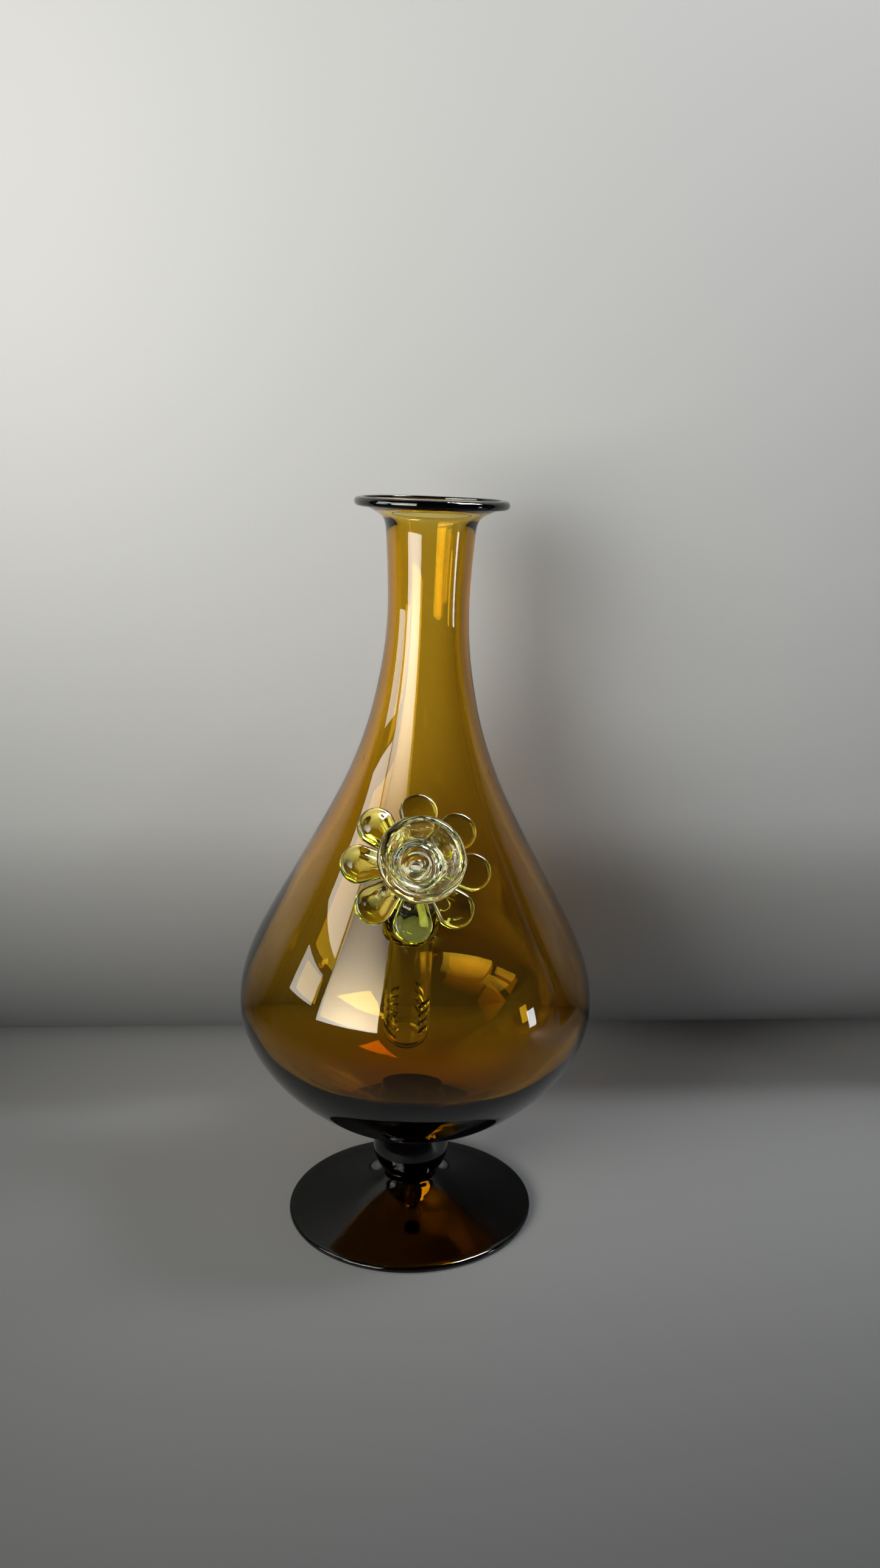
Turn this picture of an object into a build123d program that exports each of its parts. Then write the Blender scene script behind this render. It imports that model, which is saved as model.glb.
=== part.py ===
from build123d import *
from math import cos, radians, sin
import os

# A footed, hand-blown glass vase with a water chamber, and a removable flower slide that
# stands in a ground port on its front shoulder.  Millimetres.  The origin is the centre of
# the resting ring, +Z is up, and the flower faces -Y.

os.makedirs("parts", exist_ok=True)

# ---------------------------------------------------------------- driving dimensions
body_lean = 2.04          # degrees that the blown body leans towards +X on its foot
body_axis_shift = -0.44   # where the body's axis meets the table, along X
lip_height = 230.0        # middle of the lip band, along the body's axis
lip_radius = 21.6         # centre line of the lip band
lip_band = 1.43           # half the band's thickness
lip_seat_radius = 20.4    # where the blown flare butts against the band
lip_seat_half = 0.75      # half the flare's thickness there
base_height = 32.7        # the flat spot under the bulb, where the knop is fused on
base_radius = 10.8
floor_height = 43.0       # inside floor of the bulb, on the axis
foot_rim_radius = 38.95   # centre line of the foot's rounded rim
foot_rim_round = 1.27
foot_ring_inner = 36.0    # inner edge of the flat ring that the foot stands on
foot_dome_rise = 4.0      # hollow under the foot
waist_height = 13.4       # where the knop meets the foot
waist_radius = 9.2
knop_radius = 12.3
knop_height = 21.5

port_point = Vector(1.18, -37.12, 119.43)   # where the port's axis leaves the bulb's wall
port_tilt_front = 21.0    # degrees from upright, towards -Y
port_tilt_side = 2.14     # degrees from upright, towards +X
socket_mouth = 7.0        # heights along the port's axis, from port_point
socket_end = -11.5
socket_step = -10.0
socket_radius = 8.0
socket_bore = 6.9         # radius of the ground bore at its mouth
socket_lower_bore = 5.0
ground_taper = 0.05       # change of radius per mm, the usual 1 in 10 on the diameter
ground_clearance = 0.05
stem_low = -9.5
stem_high = 8.25
stem_ground_top = 7.7
stem_bore = 2.9
downstem_top_radius = 6.4
downstem_radius = 6.85
downstem_wall = 1.5
downstem_wide_from = -36.0
downstem_end = -54.7
downstem_corner = 4.0
slot_count = 4            # diffuser slots on each side
slot_pitch = 3.4
slot_first = -37.0
slot_width = 1.1
slot_slant = -30.0

flower_centre = 11.25     # along the port's axis, where the flower's axis crosses it
flower_elevation = 29.0   # degrees that the cup's mouth looks up
flower_azimuth = 9.0      # degrees that it turns towards +X
cup_reach = 17.7          # from that crossing to the cup's rim
neck_radius = 4.4
neck_bore = 2.2
neck_bend = 6.0
cup_radius = 12.4
cup_length = 15.0
cup_floor = 10.2          # depth of the cup's inside
cup_floor_radius = 6.2
cup_hole = 1.5
collar_radius = 7.4       # the cup's base, which the petals are fused to
petal_plane_depth = 13.1  # behind the rim
petal_thickness = 3.4
petal_tip_centre = 15.75  # from the cup's axis to the centre of a petal's round tip
petal_half_width = 5.6
petal_root_centre = 9.6
petal_root_half = 3.2
petal_edge = 1.5
petal_angles = (82.5, 37.5, -7.5, -51.0, -98.0, -142.0, 173.0, 129.5)   # set by eye, by hand

# ---------------------------------------------------------------- frames


def turning_plane(base):
    """Plane of a lathe outline: local X is the radius, local Y runs along base's Z."""
    return Plane(origin=base.origin, x_dir=base.x_dir, z_dir=-base.y_dir)


def turning_axis(base):
    return Axis(base.origin, base.z_dir)


lean = radians(body_lean)
body_frame = Plane(
    origin=(body_axis_shift, 0, 0), x_dir=(cos(lean), 0, -sin(lean)), z_dir=(sin(lean), 0, cos(lean))
)

port_up = Vector(
    sin(radians(port_tilt_side)),
    -sin(radians(port_tilt_front)) * cos(radians(port_tilt_side)),
    cos(radians(port_tilt_front)) * cos(radians(port_tilt_side)),
)
port_side = Vector(1, 0, 0).cross(port_up).cross(port_up) * -1
port_frame = Plane(origin=port_point, x_dir=port_side, z_dir=port_up)

elevation, azimuth = radians(flower_elevation), radians(flower_azimuth)
cup_out = Vector(sin(azimuth) * cos(elevation), -cos(azimuth) * cos(elevation), sin(elevation))
bend_point = port_point + port_up * flower_centre
rim_point = bend_point + cup_out * cup_reach
cup_frame = Plane(origin=rim_point, x_dir=(cos(azimuth), sin(azimuth), 0), z_dir=cup_out)
petal_frame = cup_frame.offset(-petal_plane_depth)


def ground_radius(height):
    """Radius of the ground bore at a height along the port's axis."""
    return socket_bore - (socket_mouth - height) * ground_taper


# ---------------------------------------------------------------- blown body: bulb, neck and flare
# radius and height along the body's axis, from the base up the outside, then down the inside
outer_outline = [
    (base_radius, base_height), (22.0, 35.3), (33.5, 41.2), (46.6, 53.1), (55.1, 68.0),
    (55.6, 80.5), (52.4, 92.0), (45.5, 105.8), (37.8, 119.6), (30.3, 133.4), (23.4, 147.2),
    (18.3, 161.0), (14.9, 174.8), (12.8, 188.6), (12.3, 202.4), (12.9, 213.9), (13.3, 220.5),
    (13.9, 225.2), (16.4, 227.3), (lip_seat_radius, lip_height - lip_seat_half),
]
inner_outline = [
    (lip_seat_radius, lip_height + lip_seat_half), (16.2, 229.7), (12.4, 226.9), (10.0, 222.0), (9.1, 214.2),
    (8.5, 202.4), (9.0, 188.3), (11.1, 174.3), (14.6, 160.2), (19.6, 146.2), (26.6, 132.2),
    (34.3, 118.3), (42.3, 104.6), (49.2, 91.1), (52.3, 79.6), (51.6, 70.0), (44.3, 58.0),
    (31.0, 48.0), (15.0, 44.0), (0, floor_height),
]
with BuildPart() as vase_body:
    with BuildSketch(turning_plane(body_frame)):
        with BuildLine():
            Line((0, base_height), (base_radius, base_height))
            Spline(*outer_outline)
            Line((lip_seat_radius, lip_height - lip_seat_half), (lip_seat_radius, lip_height + lip_seat_half))
            Spline(*inner_outline)
            Line((0, floor_height), (0, base_height))
        make_face()
    revolve(axis=turning_axis(body_frame))
    # the hole that the port is welded into
    with BuildSketch(port_frame.offset(socket_end - 4)):
        Circle(socket_radius)
    extrude(amount=socket_mouth + 5 - socket_end, mode=Mode.SUBTRACT)
vase_body.part.label = "vase_body"
export_step(vase_body.part, "parts/vase_body.step")

# ---------------------------------------------------------------- dark band wrapped round the lip
with BuildPart() as lip_wrap:
    with BuildSketch(turning_plane(body_frame)):
        with Locations((lip_radius, lip_height)):
            Circle(lip_band)
        with Locations((lip_seat_radius - lip_band, lip_height)):
            Rectangle(2 * lip_band, 3 * lip_band, mode=Mode.SUBTRACT)
    revolve(axis=turning_axis(body_frame))
lip_wrap.part.label = "lip_wrap"
export_step(lip_wrap.part, "parts/lip_wrap.step")

# ---------------------------------------------------------------- ball between the bulb and the foot
with BuildPart() as knop:
    with BuildSketch(turning_plane(body_frame)):
        with BuildLine():
            Line((0, waist_height - 1), (waist_radius - 0.4, waist_height - 1))
            Spline(
                (waist_radius - 0.4, waist_height - 1),
                (knop_radius, knop_height),
                (base_radius, base_height - 3),
                (base_radius, base_height),
            )
            Line((base_radius, base_height), (0, base_height))
            Line((0, base_height), (0, waist_height - 1))
        make_face()
    revolve(axis=turning_axis(body_frame))
    split(bisect_by=Plane.XY.offset(waist_height), keep=Keep.TOP)
knop.part.label = "knop"
export_step(knop.part, "parts/knop.step")

# ---------------------------------------------------------------- foot: a shallow cone, hollow underneath
with BuildPart() as foot_disc:
    with BuildSketch(Plane.XZ):
        with BuildLine():
            ThreePointArc((0, foot_dome_rise), (foot_ring_inner / 2, foot_dome_rise * 0.75), (foot_ring_inner, 0))
            Line((foot_ring_inner, 0), (foot_rim_radius, 0))
            ThreePointArc(
                (foot_rim_radius, 0),
                (foot_rim_radius + foot_rim_round, foot_rim_round),
                (foot_rim_radius, 2 * foot_rim_round),
            )
            Spline(
                (foot_rim_radius, 2 * foot_rim_round),
                (24.0, 5.6),
                (13.4, 9.6),
                (waist_radius, waist_height),
            )
            Line((waist_radius, waist_height), (0, waist_height))
            Line((0, waist_height), (0, foot_dome_rise))
        make_face()
    revolve(axis=Axis.Z)
foot_disc.part.label = "foot_disc"
export_step(foot_disc.part, "parts/foot_disc.step")

# ---------------------------------------------------------------- port: ground socket welded through the shoulder
with BuildPart() as port_socket:
    with BuildSketch(turning_plane(port_frame)):
        with BuildLine():
            Polyline(
                (socket_lower_bore, socket_end),
                (socket_radius - 1.2, socket_end),
                (socket_radius, socket_end + 1.2),
                (socket_radius, socket_mouth - 0.5),
                (socket_radius - 0.5, socket_mouth),
                (socket_bore, socket_mouth),
                (ground_radius(socket_step), socket_step),
                (socket_lower_bore, socket_step),
                close=True,
            )
        make_face()
    revolve(axis=turning_axis(port_frame))
port_socket.part.label = "port_socket"
export_step(port_socket.part, "parts/port_socket.step")

# ---------------------------------------------------------------- downstem: slotted tube with a closed end
with BuildPart() as downstem:
    with BuildSketch(turning_plane(port_frame)):
        with BuildLine():
            inner_corner = downstem_corner - downstem_wall
            tube_inner = downstem_radius - downstem_wall
            corner_height = downstem_end + downstem_corner
            Polyline(
                (0, downstem_end + downstem_wall),
                (0, downstem_end),
                (downstem_radius - downstem_corner, downstem_end),
            )
            RadiusArc(
                (downstem_radius - downstem_corner, downstem_end),
                (downstem_radius, corner_height),
                -downstem_corner,
            )
            Polyline(
                (downstem_radius, corner_height),
                (downstem_radius, downstem_wide_from),
                (downstem_top_radius, socket_end),
                (downstem_top_radius - downstem_wall, socket_end),
                (tube_inner, downstem_wide_from),
                (tube_inner, corner_height),
            )
            RadiusArc(
                (tube_inner, corner_height),
                (tube_inner - inner_corner, downstem_end + downstem_wall),
                inner_corner,
            )
            Line(
                (tube_inner - inner_corner, downstem_end + downstem_wall),
                (0, downstem_end + downstem_wall),
            )
        make_face()
    revolve(axis=turning_axis(port_frame))
    with BuildSketch(turning_plane(port_frame)):
        for side in (-1, 1):
            for i in range(slot_count):
                with Locations((side * (downstem_radius - 1.0), slot_first - i * slot_pitch)):
                    Rectangle(6.0, slot_width, rotation=slot_slant)
    extrude(amount=2 * downstem_radius, both=True, mode=Mode.SUBTRACT)
downstem.part.label = "downstem"
export_step(downstem.part, "parts/downstem.step")

# ---------------------------------------------------------------- slide: ground stem
with BuildPart() as slide_stem:
    with BuildSketch(turning_plane(port_frame)):
        with BuildLine():
            Polyline(
                (stem_bore, stem_low),
                (ground_radius(stem_low) - ground_clearance - 0.4, stem_low),
                (ground_radius(stem_low + 0.4) - ground_clearance, stem_low + 0.4),
                (ground_radius(stem_ground_top) - ground_clearance, stem_ground_top),
                (neck_radius + 1.2, stem_high),
                (stem_bore, stem_high),
                close=True,
            )
        make_face()
    revolve(axis=turning_axis(port_frame))
slide_stem.part.label = "slide_stem"
export_step(slide_stem.part, "parts/slide_stem.step")

# ---------------------------------------------------------------- slide: bent neck between stem and cup
with BuildPart() as slide_neck:
    with BuildLine() as neck_path:
        FilletPolyline(
            port_point + port_up * stem_high,
            bend_point,
            rim_point - cup_out * cup_length,
            radius=neck_bend,
        )
    with BuildSketch(neck_path.line ^ 0):
        Circle(neck_radius)
        Circle(neck_bore, mode=Mode.SUBTRACT)
    sweep()
slide_neck.part.label = "slide_neck"
export_step(slide_neck.part, "parts/slide_neck.step")

# ---------------------------------------------------------------- slide: thick cup with a rolled rim
with BuildPart() as cup:
    with BuildSketch(turning_plane(cup_frame)):
        with BuildLine():
            Spline(
                (cup_radius - 3.2, -2.2),
                (cup_radius - 1.6, 0),
                (cup_radius, -1.8),
                (cup_radius - 1.4, -4.4),
                tangents=[(0.1, 1), (-0.3, -1)],
            )
            Line((cup_radius - 1.4, -4.4), (collar_radius, -petal_plane_depth + petal_thickness * 0.75))
            Polyline(
                (collar_radius, -petal_plane_depth + petal_thickness * 0.75),
                (collar_radius, -cup_length + 0.6),
                (collar_radius - 0.6, -cup_length),
                (cup_hole, -cup_length),
                (cup_hole, -cup_floor),
                (cup_floor_radius, -cup_floor),
                (cup_floor_radius + 1.2, -cup_floor + 2.2),
                (cup_radius - 3.6, -5.2),
                (cup_radius - 3.2, -2.2),
            )
        make_face()
    revolve(axis=turning_axis(cup_frame))
cup.part.label = "cup"
export_step(cup.part, "parts/cup.step")

# ---------------------------------------------------------------- slide: petals fused round the cup's base
for number, angle in enumerate(petal_angles, start=1):
    outwards = petal_frame.x_dir * cos(radians(angle)) + petal_frame.y_dir * sin(radians(angle))
    with BuildPart() as petal:
        with BuildSketch(Plane(origin=petal_frame.origin, x_dir=outwards, z_dir=petal_frame.z_dir)):
            with BuildLine():
                CenterArc((petal_tip_centre, 0), petal_half_width, 0, 360)
                CenterArc((petal_root_centre, 0), petal_root_half, 0, 360)
            make_hull()
        extrude(amount=petal_thickness / 2, both=True)
        fillet(petal.edges(), radius=petal_edge)
        with BuildSketch(petal_frame):
            Circle(collar_radius)
        extrude(amount=petal_thickness, both=True, mode=Mode.SUBTRACT)
    petal.part.label = f"petal_{number}"
    export_step(petal.part, f"parts/petal_{number}.step")
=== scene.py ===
from math import cos, radians, sin, tan

import bpy
from mathutils import Matrix, Vector


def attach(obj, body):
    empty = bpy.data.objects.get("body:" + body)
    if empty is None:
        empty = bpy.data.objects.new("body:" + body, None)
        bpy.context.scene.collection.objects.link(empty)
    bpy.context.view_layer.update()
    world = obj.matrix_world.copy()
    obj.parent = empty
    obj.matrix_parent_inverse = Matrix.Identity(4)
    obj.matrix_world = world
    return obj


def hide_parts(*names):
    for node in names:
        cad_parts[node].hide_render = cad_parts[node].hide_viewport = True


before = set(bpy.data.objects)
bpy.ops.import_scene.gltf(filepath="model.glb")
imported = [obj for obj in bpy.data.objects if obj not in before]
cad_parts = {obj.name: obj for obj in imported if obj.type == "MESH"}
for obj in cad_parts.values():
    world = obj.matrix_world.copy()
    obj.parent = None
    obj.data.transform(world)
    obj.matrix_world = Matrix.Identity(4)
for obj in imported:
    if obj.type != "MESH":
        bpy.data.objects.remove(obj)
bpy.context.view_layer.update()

# ---------------------------------------------------------------- blown body
# The bulb, neck and flared mouth are one gather of olive-amber glass, blown on a pipe, with a wall of about
# 3 to 4 mm and a thick floor. It leans a little on its knop, and its shoulder is cut for the port.
body_shift = -0.00044
body_lean = radians(2.04)
body_place = Matrix.Translation((body_shift, 0, 0)) @ Matrix.Rotation(body_lean, 4, "Y")
crease_angle = radians(35)      # faces that meet at more than this keep a sharp edge
# radius and height of each ring, up the outside and then down the inside
body_rings = [
    (0.0040, 0.03278), (0.0092, 0.03278), (0.0118, 0.03292), (0.0158, 0.03342), (0.0222, 0.03515),
    (0.0280, 0.0377), (0.0337, 0.0411), (0.0409, 0.0470), (0.0469, 0.0532), (0.0520, 0.0604),
    (0.0553, 0.0681), (0.0561, 0.0743), (0.0558, 0.0806), (0.0545, 0.0864), (0.0525, 0.0921),
    (0.0493, 0.0989), (0.0456, 0.1058), (0.0417, 0.1127), (0.0378, 0.1196), (0.0340, 0.1265),
    (0.0303, 0.1334), (0.0267, 0.1403), (0.0234, 0.1472), (0.0206, 0.1541), (0.0182, 0.1610),
    (0.0163, 0.1679), (0.01485, 0.1748), (0.0136, 0.1817), (0.0127, 0.1886), (0.0123, 0.1955),
    (0.0122, 0.2024), (0.01245, 0.2085), (0.0127, 0.2139), (0.0130, 0.2185), (0.0132, 0.2218),
    (0.0135, 0.2240), (0.0142, 0.2257), (0.0157, 0.2269), (0.0177, 0.2278), (0.0193, 0.2286),
    (0.0203, 0.22925), (0.0204, 0.2300), (0.0203, 0.23075), (0.0190, 0.2306), (0.0165, 0.2298),
    (0.0140, 0.2284), (0.0120, 0.2264), (0.0105, 0.2235), (0.0097, 0.2200), (0.0092, 0.2150),
    (0.0088, 0.2090), (0.0085, 0.2024), (0.0086, 0.1950), (0.0090, 0.1883), (0.0098, 0.1812),
    (0.0110, 0.1743), (0.0126, 0.1672), (0.0145, 0.1602), (0.0169, 0.1532), (0.0196, 0.1462),
    (0.0229, 0.1392), (0.0265, 0.1322), (0.0303, 0.1252), (0.0343, 0.1183), (0.0383, 0.1114),
    (0.0422, 0.1046), (0.0459, 0.0979), (0.0490, 0.0911), (0.0510, 0.0854), (0.0521, 0.0796),
    (0.0523, 0.0745), (0.0514, 0.0695), (0.0488, 0.0635), (0.0443, 0.0580), (0.0383, 0.0525),
    (0.0308, 0.0480), (0.0230, 0.0454), (0.0150, 0.0440), (0.0070, 0.0432), (0.0030, 0.0431),
]


def turn(name, rings, place, around=72, smoothing=2, open_bore=False):
    """Turns a piece on its axis: the first ring is drawn, and each next one is extruded from it and scaled.
    open_bore joins the last ring to the first; otherwise both ends are closed."""
    bpy.ops.object.select_all(action="DESELECT")
    radius, height = rings[0]
    bpy.ops.mesh.primitive_circle_add(
        vertices=around, radius=radius, fill_type="NOTHING", location=(0, 0, height)
    )
    piece = bpy.context.object
    piece.name = piece.data.name = name
    bpy.ops.object.transform_apply(location=True, rotation=True, scale=True)
    bpy.ops.object.mode_set(mode="EDIT")
    bpy.ops.mesh.select_all(action="SELECT")
    for next_radius, next_height in rings[1:]:
        bpy.ops.mesh.extrude_region_move(TRANSFORM_OT_translate={"value": (0, 0, next_height - height)})
        scale = next_radius / radius
        bpy.ops.transform.resize(value=(scale, scale, 1), center_override=(0, 0, next_height))
        radius, height = next_radius, next_height
    bpy.ops.mesh.select_all(action="DESELECT")
    bpy.ops.mesh.select_mode(type="EDGE")
    bpy.ops.mesh.select_non_manifold()
    if open_bore:
        bpy.ops.mesh.bridge_edge_loops()
    else:
        bpy.ops.mesh.fill_holes(sides=0)
    bpy.ops.mesh.select_all(action="SELECT")
    bpy.ops.mesh.normals_make_consistent(inside=False)
    bpy.ops.object.mode_set(mode="OBJECT")
    return settle(piece, place, smoothing)


def pick(piece):
    """Selects one piece and nothing else."""
    bpy.ops.object.select_all(action="DESELECT")
    piece.select_set(True)
    bpy.context.view_layer.objects.active = piece


def settle(piece, place, smoothing):
    """Moves a finished shape to its place, keeps that place in its mesh, and smooths it."""
    pick(piece)
    piece.matrix_world = place
    bpy.ops.object.transform_apply(location=True, rotation=True, scale=True)
    if smoothing:
        bpy.ops.object.modifier_add(type="SUBSURF")
        piece.modifiers["Subdivision"].levels = smoothing
        piece.modifiers["Subdivision"].render_levels = smoothing
        bpy.ops.object.modifier_apply(modifier="Subdivision")
    bpy.ops.object.shade_smooth_by_angle(angle=crease_angle)
    return piece


def hand_wave(piece, size, depth):
    """The slight unevenness of glass worked by hand: the surface swells and sinks by up to depth in all,
    over a distance of size."""
    swell = bpy.data.textures.new(f"{piece.name}_swell", type="CLOUDS")
    swell.noise_scale = size
    swell.noise_depth = 1
    pick(piece)
    bpy.ops.object.modifier_add(type="DISPLACE")
    wave = piece.modifiers["Displace"]
    wave.texture = swell
    wave.texture_coords = "LOCAL"
    wave.mid_level = 0.5
    wave.strength = depth
    bpy.ops.object.modifier_apply(modifier="Displace")


blown_body = turn("blown_body", body_rings, body_place)
hand_wave(blown_body, 0.05, 0.0005)

# the port, the stem and the neck are measured along the port's axis, from port_foot
port_foot = Vector((0.00118, -0.03712, 0.11943))
port_forward = radians(21)
port_sideways = radians(2.14)
port_up = Vector((
    sin(port_sideways),
    -sin(port_forward) * cos(port_sideways),
    cos(port_forward) * cos(port_sideways),
))
port_turned = port_up.to_track_quat("Z", "X").to_matrix().to_4x4()
port_place = Matrix.Translation(port_foot) @ port_turned
port_drill_radius = 0.0072      # less than the socket's, so that the two glasses run into each other
port_drill_length = 0.030

bpy.ops.object.select_all(action="DESELECT")
bpy.ops.mesh.primitive_cylinder_add(vertices=96, radius=port_drill_radius, depth=port_drill_length)
port_drill = bpy.context.object
port_drill.matrix_world = port_place
bpy.ops.object.transform_apply(location=True, rotation=True, scale=True)
pick(blown_body)
bpy.ops.object.modifier_add(type="BOOLEAN")
port_cut = blown_body.modifiers["Boolean"]
port_cut.object = port_drill
port_cut.operation = "DIFFERENCE"
port_cut.solver = "EXACT"
bpy.ops.object.modifier_apply(modifier="Boolean")
bpy.ops.object.shade_smooth_by_angle(angle=crease_angle)
bpy.data.objects.remove(port_drill)

# waves and seeds: what a hand-blown surface has, shared by every glass here. Height carries both, for the
# relief, and Streak carries the waves alone, for the colour.
blown_surface = bpy.data.node_groups.new("blown_surface", "ShaderNodeTree")
blown_surface.interface.new_socket("Wave Scale", in_out="INPUT", socket_type="NodeSocketFloat")
blown_surface.interface.new_socket("Seed Scale", in_out="INPUT", socket_type="NodeSocketFloat")
blown_surface.interface.new_socket("Height", in_out="OUTPUT", socket_type="NodeSocketFloat")
blown_surface.interface.new_socket("Streak", in_out="OUTPUT", socket_type="NodeSocketFloat")
group_in = blown_surface.nodes.new("NodeGroupInput")
group_out = blown_surface.nodes.new("NodeGroupOutput")
object_place = blown_surface.nodes.new("ShaderNodeTexCoord")
stretch = blown_surface.nodes.new("ShaderNodeMapping")
stretch.inputs["Scale"].default_value = (1, 1, 0.35)      # drawn out along the height
waves = blown_surface.nodes.new("ShaderNodeTexNoise")
waves.inputs["Detail"].default_value = 1
waves.inputs["Roughness"].default_value = 0.4
seeds = blown_surface.nodes.new("ShaderNodeTexVoronoi")
seeds.feature = "F1"
pip = blown_surface.nodes.new("ShaderNodeMapRange")      # a small round dot in each cell
pip.inputs["From Min"].default_value = 0.035
pip.inputs["From Max"].default_value = 0.06
pip.inputs["To Min"].default_value = 1
pip.inputs["To Max"].default_value = 0
cell_chance = blown_surface.nodes.new("ShaderNodeSeparateColor")
few = blown_surface.nodes.new("ShaderNodeMath")      # about a quarter of the cells have their dot
few.operation = "GREATER_THAN"
few.inputs[1].default_value = 0.72
sparse = blown_surface.nodes.new("ShaderNodeMath")
sparse.operation = "MULTIPLY"
raised = blown_surface.nodes.new("ShaderNodeMath")      # a dot stands up by a small part of a wave
raised.operation = "MULTIPLY_ADD"
raised.inputs[1].default_value = 0.12
join = blown_surface.links.new
join(object_place.outputs["Object"], stretch.inputs["Vector"])
join(stretch.outputs["Vector"], waves.inputs["Vector"])
join(group_in.outputs["Wave Scale"], waves.inputs["Scale"])
join(object_place.outputs["Object"], seeds.inputs["Vector"])
join(group_in.outputs["Seed Scale"], seeds.inputs["Scale"])
join(seeds.outputs["Distance"], pip.inputs["Value"])
join(seeds.outputs["Color"], cell_chance.inputs["Color"])
join(cell_chance.outputs["Red"], few.inputs[0])
join(pip.outputs["Result"], sparse.inputs[0])
join(few.outputs["Value"], sparse.inputs[1])
join(sparse.outputs["Value"], raised.inputs[0])
join(waves.outputs["Fac"], raised.inputs[2])
join(raised.outputs["Value"], group_out.inputs["Height"])
join(waves.outputs["Fac"], group_out.inputs["Streak"])


def glass(
    name, clear, streaked, absorbs, density, wave_scale, seed_scale, wave_depth, roughness=0.0, through=1.0
):
    """A glass: its surface colour runs from clear to streaked, and its body takes light away with depth."""
    finish = bpy.data.materials.new(name)
    finish.use_nodes = True
    nodes, link = finish.node_tree.nodes, finish.node_tree.links.new
    shader = nodes["Principled BSDF"]
    shader.inputs["Roughness"].default_value = roughness
    shader.inputs["IOR"].default_value = 1.5
    shader.inputs["Transmission Weight"].default_value = through
    surface = nodes.new("ShaderNodeGroup")
    surface.node_tree = blown_surface
    surface.inputs["Wave Scale"].default_value = wave_scale
    surface.inputs["Seed Scale"].default_value = seed_scale
    streaks = nodes.new("ShaderNodeMix")
    streaks.data_type = "RGBA"
    streaks.inputs["A"].default_value = (*clear, 1)
    streaks.inputs["B"].default_value = (*streaked, 1)
    relief = nodes.new("ShaderNodeBump")
    relief.inputs["Distance"].default_value = wave_depth
    relief.inputs["Strength"].default_value = 1
    body_colour = nodes.new("ShaderNodeVolumeAbsorption")
    body_colour.inputs["Color"].default_value = (*absorbs, 1)
    body_colour.inputs["Density"].default_value = density
    link(surface.outputs["Streak"], streaks.inputs["Factor"])
    link(streaks.outputs["Result"], shader.inputs["Base Color"])
    link(surface.outputs["Height"], relief.inputs["Height"])
    link(relief.outputs["Normal"], shader.inputs["Normal"])
    link(body_colour.outputs["Volume"], nodes["Material Output"].inputs["Volume"])
    return finish


amber_glass = glass(
    "amber_glass", clear=(1, 1, 0.96), streaked=(0.96, 0.95, 0.84),
    absorbs=(0.912, 0.772, 0.01), density=510, wave_scale=22, seed_scale=70, wave_depth=0.0006,
)
blown_body.data.materials.append(amber_glass)
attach(blown_body, "vessel")
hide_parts("vase_body")

# ---------------------------------------------------------------- lip band
# A trail of nearly black glass is wound once round the mouth while both are hot, and melts down to a round,
# slightly flattened band that thickens the rim.
lip_rings = [
    (0.02046, 0.22876), (0.02090, 0.22862), (0.02160, 0.22857), (0.02240, 0.22880), (0.02288, 0.22935),
    (0.02303, 0.2300), (0.02288, 0.23065), (0.02240, 0.23120), (0.02160, 0.23143), (0.02090, 0.23138),
    (0.02046, 0.23124), (0.02046, 0.2300),
]
lip_band = turn("lip_band", lip_rings, body_place, around=96, open_bore=True)
hand_wave(lip_band, 0.02, 0.00025)
dark_glass = glass(
    "dark_glass", clear=(0.90, 0.85, 0.75), streaked=(0.75, 0.70, 0.60),
    absorbs=(0.84, 0.76, 0.50), density=9000, wave_scale=30, seed_scale=90, wave_depth=0.0004,
)
lip_band.data.materials.append(dark_glass)
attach(lip_band, "vessel")
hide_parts("lip_wrap")

# ---------------------------------------------------------------- knop
# A solid ball of the same dark glass carries the bulb. It is pressed on hot, so it spreads a little where it
# takes the bulb and draws in to a waist above the foot.
knop_rings = [
    (0.0030, 0.01345), (0.0075, 0.01345), (0.0088, 0.0138), (0.0097, 0.0151), (0.0112, 0.0176),
    (0.01225, 0.0206), (0.01225, 0.0236), (0.0114, 0.0266), (0.0107, 0.0290), (0.0106, 0.0307),
    (0.01095, 0.0320), (0.0102, 0.03268), (0.0035, 0.03268),
]
knop_ball = turn("knop_ball", knop_rings, body_place, around=64)
hand_wave(knop_ball, 0.012, 0.0002)
knop_ball.data.materials.append(dark_glass)
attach(knop_ball, "vessel")
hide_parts("knop")

# ---------------------------------------------------------------- foot
# The foot is a disc of dark glass spun out to a shallow cone with a fire-rounded rim. Its underside is
# hollow, so that the vase stands on a flat ring near the rim.
foot_rings = [
    (0.0040, 0.0040), (0.0120, 0.00385), (0.0200, 0.0030), (0.0280, 0.00185), (0.0340, 0.0006),
    (0.0360, 0.0), (0.0375, 0.0), (0.0390, 0.00002), (0.03985, 0.00045), (0.04022, 0.00127),
    (0.03985, 0.00205), (0.0390, 0.00252), (0.0365, 0.00295), (0.0320, 0.0038), (0.0265, 0.0050),
    (0.0210, 0.0064), (0.0165, 0.0081), (0.0130, 0.0099), (0.0107, 0.0116), (0.0094, 0.0130),
    (0.0086, 0.01338), (0.0030, 0.01338),
]
spun_foot = turn("spun_foot", foot_rings, Matrix.Identity(4), around=96)
spun_foot.data.materials.append(dark_glass)
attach(spun_foot, "vessel")
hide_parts("foot_disc")

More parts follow.
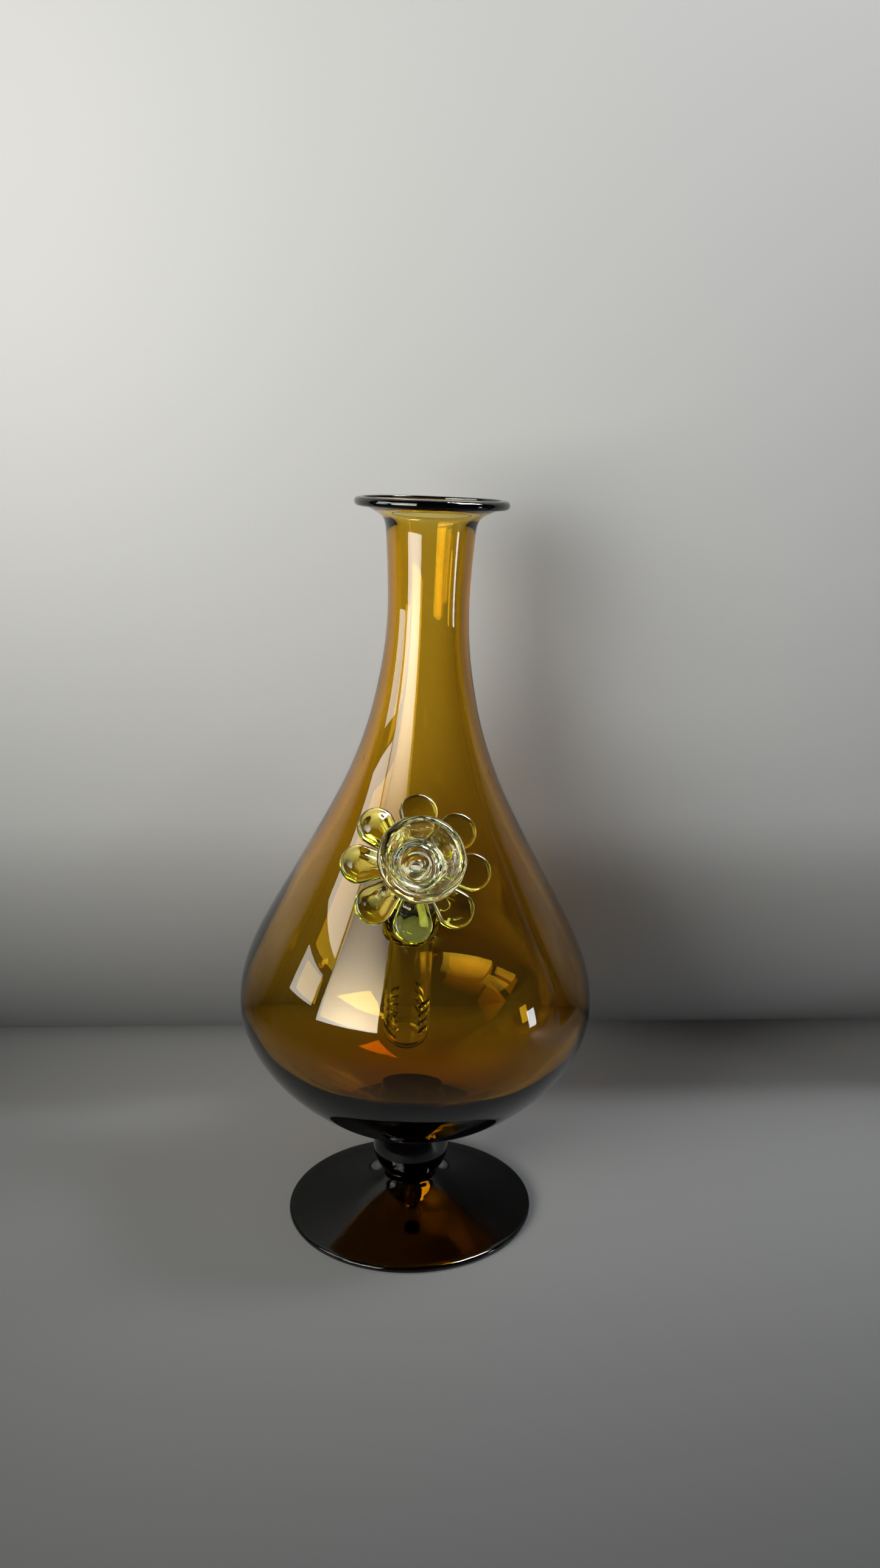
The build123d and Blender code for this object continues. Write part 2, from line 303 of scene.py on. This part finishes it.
# ---------------------------------------------------------------- port
# A clear glass socket is welded through the shoulder, tipped towards the front. Its bore is ground to the
# standard 1 in 10 taper to take the stem, and narrows to a shelf where the downstem is sealed on.
port_rings = [
    (0.0050, -0.0115), (0.0068, -0.0115), (0.0076, -0.0111), (0.00796, -0.0103), (0.00796, 0.0062),
    (0.00775, 0.00675), (0.00745, 0.0070), (0.00715, 0.0070), (0.00692, 0.0067), (0.00605, -0.0099),
    (0.0050, -0.0100),
]
port_socket = turn("welded_port", port_rings, port_place, around=96, smoothing=0, open_bore=True)
clear_glass = glass(
    "clear_glass", clear=(1, 1, 1), streaked=(0.97, 0.98, 0.93),
    absorbs=(0.90, 0.91, 0.55), density=60, wave_scale=120, seed_scale=160, wave_depth=0.0003,
)
port_socket.data.materials.append(clear_glass)
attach(port_socket, "vessel")
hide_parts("port_socket")

# ---------------------------------------------------------------- downstem
# The downstem is a thin tube of pale amber glass with a round closed end. Slots are sawn slantwise into both
# of its sides.
tube_glass = glass(
    "tube_glass", clear=(1, 1, 0.97), streaked=(0.97, 0.96, 0.88),
    absorbs=(0.93, 0.90, 0.40), density=160, wave_scale=60, seed_scale=120, wave_depth=0.0003,
)
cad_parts["downstem"].data.materials.clear()
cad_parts["downstem"].data.materials.append(tube_glass)

# ---------------------------------------------------------------- ground stem
# The lower end of the flower slide is a short tube ground to a frosted taper, so that it seals in the port.
stem_rings = [
    (0.0029, -0.0095), (0.0056, -0.0095), (0.0060, -0.0091), (0.0063, -0.0030), (0.00652, 0.0012),
    (0.00632, 0.0016), (0.00632, 0.0020), (0.00656, 0.0024), (0.00672, 0.0052), (0.00652, 0.0056),
    (0.00652, 0.0060), (0.0068, 0.0064), (0.00688, 0.0076), (0.0066, 0.0080), (0.0056, 0.00822),
    (0.0029, 0.00822),
]
ground_stem = turn("ground_stem", stem_rings, port_place, around=96, smoothing=0, open_bore=True)
frosted_glass = glass(
    "frosted_glass", clear=(0.92, 0.94, 0.92), streaked=(0.82, 0.85, 0.82),
    absorbs=(0.90, 0.92, 0.80), density=60, wave_scale=900, seed_scale=1500, wave_depth=0.00005,
    roughness=0.5, through=0.6,
)
ground_stem.data.materials.append(frosted_glass)
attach(ground_stem, "stem")
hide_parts("slide_stem")

# ---------------------------------------------------------------- bent neck
# A thick tube of clear glass rises from the ground stem and is bent forward in the flame to meet the cup.
neck_radius = 0.0044
neck_wall = 0.0022
neck_start = port_foot + port_up * 0.00828
corner_height = 0.01125      # where the port's axis and the cup's axis cross
cup_turned = radians(9)
cup_raised = radians(29)
cup_out = Vector((
    sin(cup_turned) * cos(cup_raised),
    -cos(cup_turned) * cos(cup_raised),
    sin(cup_raised),
))
bend_radius = 0.006
bend_angle = port_up.angle(cup_out)
bend_axis = port_up.cross(cup_out).normalized()
bend_from = port_foot + port_up * (corner_height - bend_radius * tan(bend_angle / 2))
bend_inwards = (cup_out - port_up * cup_out.dot(port_up)).normalized()
bend_centre = bend_from + bend_inwards * bend_radius
into_cup = cup_out * 0.0006

bpy.ops.object.select_all(action="DESELECT")
bpy.ops.mesh.primitive_circle_add(vertices=64, radius=neck_radius, fill_type="NOTHING")
bent_neck = bpy.context.object
bent_neck.name = bent_neck.data.name = "bent_neck"
bent_neck.matrix_world = Matrix.Translation(neck_start) @ port_turned
bpy.ops.object.transform_apply(location=True, rotation=True, scale=True)
bpy.ops.object.mode_set(mode="EDIT")
bpy.ops.mesh.select_all(action="SELECT")
bpy.ops.mesh.extrude_region_move(TRANSFORM_OT_translate={"value": tuple(bend_from - neck_start)})
bpy.ops.mesh.spin(steps=10, angle=bend_angle, center=tuple(bend_centre), axis=tuple(bend_axis))
bpy.ops.mesh.extrude_region_move(TRANSFORM_OT_translate={"value": tuple(into_cup)})
bpy.ops.mesh.select_all(action="SELECT")
bpy.ops.mesh.remove_doubles(threshold=0.00001)
bpy.ops.mesh.normals_make_consistent(inside=False)
bpy.ops.object.mode_set(mode="OBJECT")
bpy.ops.object.modifier_add(type="SOLIDIFY")
bent_neck.modifiers["Solidify"].thickness = neck_wall
bent_neck.modifiers["Solidify"].offset = -1
bpy.ops.object.modifier_apply(modifier="Solidify")
bpy.ops.object.shade_smooth_by_angle(angle=crease_angle)
bent_neck.data.materials.append(clear_glass)
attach(bent_neck, "flower")
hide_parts("slide_neck")

# ---------------------------------------------------------------- cup
# The flower's centre is a heavy cup of clear glass with a rolled rim. Inside, it steps in twice to a small
# raised ring round the hole that leads to the neck.
cup_reach = 0.0177
rim_centre = port_foot + port_up * corner_height + cup_out * cup_reach
cup_side = Vector((cos(cup_turned), sin(cup_turned), 0))
cup_axes = Matrix((cup_side, cup_out.cross(cup_side), cup_out)).transposed()
cup_place = Matrix.Translation(rim_centre) @ cup_axes.to_4x4()
cup_rings = [
    (0.0014, -0.0149), (0.0060, -0.0149), (0.0070, -0.0147), (0.0074, -0.0142), (0.0074, -0.0118),
    (0.0076, -0.0104), (0.0086, -0.0086), (0.0099, -0.0064), (0.0109, -0.0046), (0.0117, -0.0034),
    (0.0123, -0.0022), (0.0123, -0.0011), (0.0117, -0.0003), (0.0108, 0.0), (0.0099, -0.0004),
    (0.0094, -0.0013), (0.0093, -0.0024), (0.0091, -0.0040), (0.0084, -0.0056), (0.0075, -0.0068),
    (0.0070, -0.0074), (0.0062, -0.0077), (0.0058, -0.0080), (0.0055, -0.0090), (0.0051, -0.0099),
    (0.0044, -0.0103), (0.0039, -0.0101), (0.0035, -0.0094), (0.0028, -0.0091), (0.0020, -0.0094),
    (0.0015, -0.0102), (0.0014, -0.0120),
]
rolled_cup = turn("rolled_cup", cup_rings, cup_place, around=64, open_bore=True)
hand_wave(rolled_cup, 0.005, 0.0005)
rolled_cup.data.materials.append(clear_glass)
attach(rolled_cup, "flower")
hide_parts("cup")

# ---------------------------------------------------------------- petals
# Eight petals of citrine glass are dropped on round the cup's base one after another and pressed flat, so
# each is a thick pad with a soft round edge. No two are quite alike.
citrine_glass = glass(
    "citrine_glass", clear=(1, 1, 0.92), streaked=(0.97, 0.98, 0.80),
    absorbs=(0.93, 0.95, 0.35), density=330, wave_scale=140, seed_scale=260, wave_depth=0.0003,
)
# angle round the cup, thickness and how far its middle swells, for each petal
petal_shapes = [
    (82.5, 0.0033, 0.0004), (37.5, 0.0031, 0.0001), (-7.5, 0.0031, 0.0001), (-51.0, 0.0033, 0.0005),
    (-98.0, 0.0034, 0.0008), (-142.0, 0.0034, 0.0009), (173.0, 0.0034, 0.0011), (129.5, 0.0034, 0.0013),
]
petal_tip = 0.01575        # from the cup's axis to the middle of the round end
petal_root = 0.0071
petal_half_width = 0.0056
petal_narrows = 0.30       # how much the sides draw in towards the root
petal_spreads = 0.62       # and how much they widen again where they meet the cup
petal_depth = -0.0131      # below the cup's rim
edge_step = 0.0013         # each of the three steps in from the edge
edge_lift = 0.0002
for number, (angle, thickness, swell) in enumerate(petal_shapes, start=1):
    bpy.ops.object.select_all(action="DESELECT")
    bpy.ops.mesh.primitive_circle_add(vertices=48, radius=petal_half_width, fill_type="NGON")
    petal = bpy.context.object
    petal.name = petal.data.name = f"glass_petal_{number}"
    for corner in petal.data.vertices:
        if corner.co.x < 0:
            back = -corner.co.x / petal_half_width
            corner.co.x = -back * (petal_tip - petal_root)
            corner.co.y *= 1 - petal_narrows * back + petal_spreads * back ** 4
        corner.co.x += petal_tip
        corner.co.z = -thickness / 2
    bpy.ops.object.mode_set(mode="EDIT")
    bpy.ops.mesh.select_all(action="SELECT")
    bpy.ops.mesh.extrude_region_move(TRANSFORM_OT_translate={"value": (0, 0, thickness)})
    bpy.ops.object.mode_set(mode="OBJECT")
    for side in (-1, 1):
        for face in petal.data.polygons:
            face.select = len(face.vertices) > 4 and face.center.z * side > 0
        for edge in petal.data.edges:
            edge.select = False
        for corner in petal.data.vertices:
            corner.select = False
        bpy.ops.object.mode_set(mode="EDIT")
        bpy.ops.mesh.select_mode(type="FACE")
        for lift in (edge_lift, 0.4 * swell, 0.6 * swell):
            bpy.ops.mesh.inset(thickness=edge_step)
            bpy.ops.transform.translate(value=(0, 0, side * lift))
        bpy.ops.object.mode_set(mode="OBJECT")
    bpy.ops.object.mode_set(mode="EDIT")
    bpy.ops.mesh.select_all(action="SELECT")
    bpy.ops.mesh.normals_make_consistent(inside=False)
    bpy.ops.object.mode_set(mode="OBJECT")
    round_the_cup = Matrix.Rotation(radians(angle), 4, "Z")
    petal_place = cup_place @ Matrix.Translation((0, 0, petal_depth)) @ round_the_cup
    settle(petal, petal_place, smoothing=2)
    petal.data.materials.append(citrine_glass)
    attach(petal, "flower")
    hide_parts(f"petal_{number}")

# ---------------------------------------------------------------- studio
# A pale sheet is the floor and sweeps up behind the vase. Three soft boxes on the left stand for windows
# with dark bars between them, and a small one stands for a window on the right. The last one lights the
# sheet.
sheet_width = 5
sheet_front = -2.2
curve_start = 0.17      # where the floor begins to rise
curve_radius = 0.12
wall_height = 0.6
bpy.ops.object.select_all(action="DESELECT")
bpy.ops.mesh.primitive_plane_add(size=1, location=(0, 0, 0))
sweep = bpy.context.object
sweep.name = sweep.data.name = "studio_sweep"
for corner in sweep.data.vertices:
    corner.co.x *= sheet_width
    corner.co.y = curve_start if corner.co.y > 0 else sheet_front
bpy.ops.object.mode_set(mode="EDIT")
bpy.ops.mesh.select_all(action="DESELECT")
bpy.ops.object.mode_set(mode="OBJECT")
for edge in sweep.data.edges:
    ends = [sweep.data.vertices[i].co.y for i in edge.vertices]
    edge.select = min(ends) > 0
for corner in sweep.data.vertices:
    corner.select = corner.co.y > 0
bpy.ops.object.mode_set(mode="EDIT")
bpy.ops.mesh.select_mode(type="EDGE")
bpy.ops.mesh.spin(steps=16, angle=radians(90), center=(0, curve_start, curve_radius), axis=(1, 0, 0))
bpy.ops.mesh.extrude_region_move(TRANSFORM_OT_translate={"value": (0, 0, wall_height)})
bpy.ops.object.mode_set(mode="OBJECT")
bpy.ops.object.shade_smooth()
paper = bpy.data.materials.new("pale_paper")
paper.use_nodes = True
paper_nodes, paper_link = paper.node_tree.nodes, paper.node_tree.links.new
paper_grain = paper_nodes.new("ShaderNodeTexNoise")
paper_grain.inputs["Scale"].default_value = 3
paper_tone = paper_nodes.new("ShaderNodeMix")
paper_tone.data_type = "RGBA"
paper_tone.inputs["A"].default_value = (0.26, 0.265, 0.27, 1)
paper_tone.inputs["B"].default_value = (0.29, 0.295, 0.30, 1)
paper_coordinates = paper_nodes.new("ShaderNodeTexCoord")
paper_link(paper_coordinates.outputs["Object"], paper_grain.inputs["Vector"])
paper_link(paper_grain.outputs["Fac"], paper_tone.inputs["Factor"])
paper_link(paper_tone.outputs["Result"], paper_nodes["Principled BSDF"].inputs["Base Color"])
paper_nodes["Principled BSDF"].inputs["Roughness"].default_value = 0.5
sweep.data.materials.append(paper)

# two black cards stand beside the vase, out of the view, and keep its outline dark
black_card = bpy.data.materials.new("black_card")
black_card.use_nodes = True
black_card.node_tree.nodes["Principled BSDF"].inputs["Base Color"].default_value = (0.01, 0.01, 0.01, 1)
black_card.node_tree.nodes["Principled BSDF"].inputs["Roughness"].default_value = 1
card_aside = 0.28
card_back = 0.15
card_height = 0.56
for side in (-1, 1):
    bpy.ops.object.select_all(action="DESELECT")
    bpy.ops.mesh.primitive_plane_add(
        size=1, location=(side * card_aside, card_back, card_height), rotation=(0, radians(90), 0)
    )
    card = bpy.context.object
    card.name = card.data.name = "black_card_left" if side < 0 else "black_card_right"
    card.scale = (1.1, 0.27, 1)
    card.data.materials.append(black_card)
    card.visible_camera = False


def soft_box(name, turned, height, distance, width, tall, power, colour, spread=180):
    """A rectangular light that faces the vase from turned degrees round from the front towards +X."""
    lamp = bpy.data.lights.new(name, "AREA")
    lamp.shape = "RECTANGLE"
    lamp.size, lamp.size_y = width, tall
    lamp.energy = power
    lamp.color = colour
    lamp.spread = radians(spread)
    box = bpy.data.objects.new(name, lamp)
    bpy.context.scene.collection.objects.link(box)
    box.location = (distance * sin(radians(turned)), -distance * cos(radians(turned)), height)
    box.rotation_euler = (radians(90), 0, radians(turned))
    return box


daylight = (1.0, 0.97, 0.88)
soft_box(
    "front_window", turned=-42.0, height=0.34, distance=0.45, width=0.30, tall=0.44,
    power=1.35, colour=daylight, spread=85,
)
soft_box(
    "left_window_low", turned=-76.5, height=0.218, distance=0.45, width=0.165, tall=0.105,
    power=0.13, colour=daylight, spread=100,
)
soft_box(
    "left_window_high", turned=-74.5, height=0.43, distance=0.45, width=0.20, tall=0.22,
    power=0.5, colour=daylight, spread=100,
)
soft_box(
    "small_window", turned=73, height=0.085, distance=0.6, width=0.06, tall=0.10,
    power=0.25, colour=(0.9, 0.95, 1.0),
)
sheet_light = soft_box(
    "sheet_light", turned=100, height=0.95, distance=0.50, width=0.5, tall=0.5,
    power=20, colour=(0.96, 0.98, 1.0), spread=95,
)
sheet_light.rotation_euler = (radians(33), 0, radians(36))

sky = bpy.data.worlds.new("soft_fill")
bpy.context.scene.world = sky
sky.use_nodes = True
sky_nodes, sky_link = sky.node_tree.nodes, sky.node_tree.links.new
ray = sky_nodes.new("ShaderNodeLightPath")
room = sky_nodes.new("ShaderNodeMapRange")      # the room that the glass mirrors is dim
room.inputs["To Min"].default_value = 0.22
room.inputs["To Max"].default_value = 0.03
sky_nodes["Background"].inputs["Color"].default_value = (0.95, 0.97, 1.0, 1)
sky_link(ray.outputs["Is Glossy Ray"], room.inputs["Value"])
sky_link(room.outputs["Result"], sky_nodes["Background"].inputs["Strength"])

# ---------------------------------------------------------------- camera
# The camera stands just above the lip and looks slightly down at the middle of the vase.
camera_tilt = radians(14.053)
camera_pan = radians(-1.464)
lens = bpy.data.cameras.new("front_camera")
lens.lens = 30.30
lens.sensor_width = 36
lens.clip_start = 0.01
camera = bpy.data.objects.new("front_camera", lens)
bpy.context.scene.collection.objects.link(camera)
camera.location = (0, -0.39544, 0.24387)
camera.rotation_euler = (radians(90) - camera_tilt, 0, camera_pan)
bpy.context.scene.camera = camera
bpy.context.scene.view_settings.view_transform = "Standard"
bpy.context.scene.cycles.max_bounces = 24
bpy.context.scene.cycles.transmission_bounces = 24
